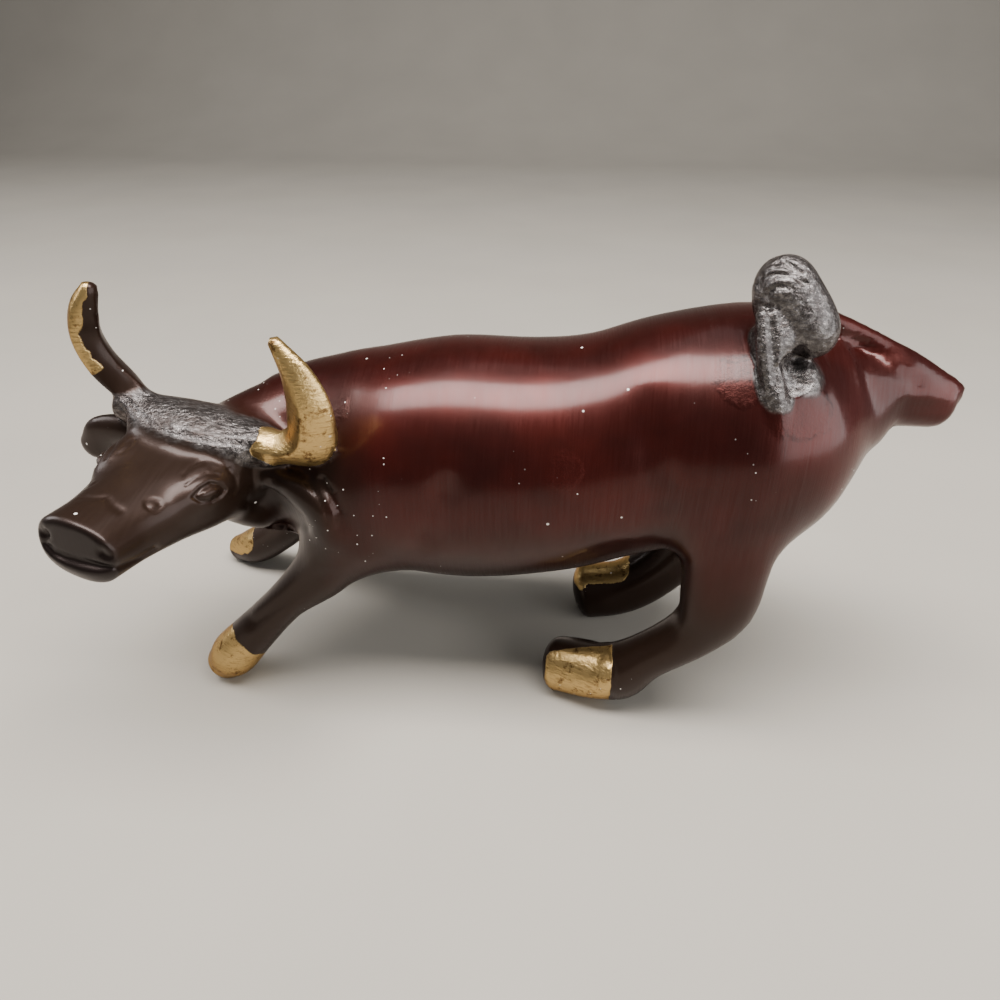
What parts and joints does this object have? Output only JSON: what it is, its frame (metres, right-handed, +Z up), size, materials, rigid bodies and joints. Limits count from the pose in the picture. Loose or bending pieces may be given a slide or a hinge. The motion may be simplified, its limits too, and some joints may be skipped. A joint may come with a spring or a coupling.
{
  "type": "bull sculpture",
  "caption": "Small cast figurine of a charging bull with a lowered, turned head, raised horns, a curled tail and flat hoof soles.",
  "frame": {"origin": "centre of the figure's box in plan, at the level of the hoof soles", "axes": "+X from the head towards the rump, +Y from the bull's left side to its right side, +Z up"},
  "size_m": [0.1656, 0.074, 0.0924],
  "materials": {
    "lacquered_casting": "gloss oxblood lacquer over cast brass, bare brass on horns and hooves"
  },
  "bodies": {
    "root": {"bull": "lacquered_casting"}
  },
  "joints": []
}
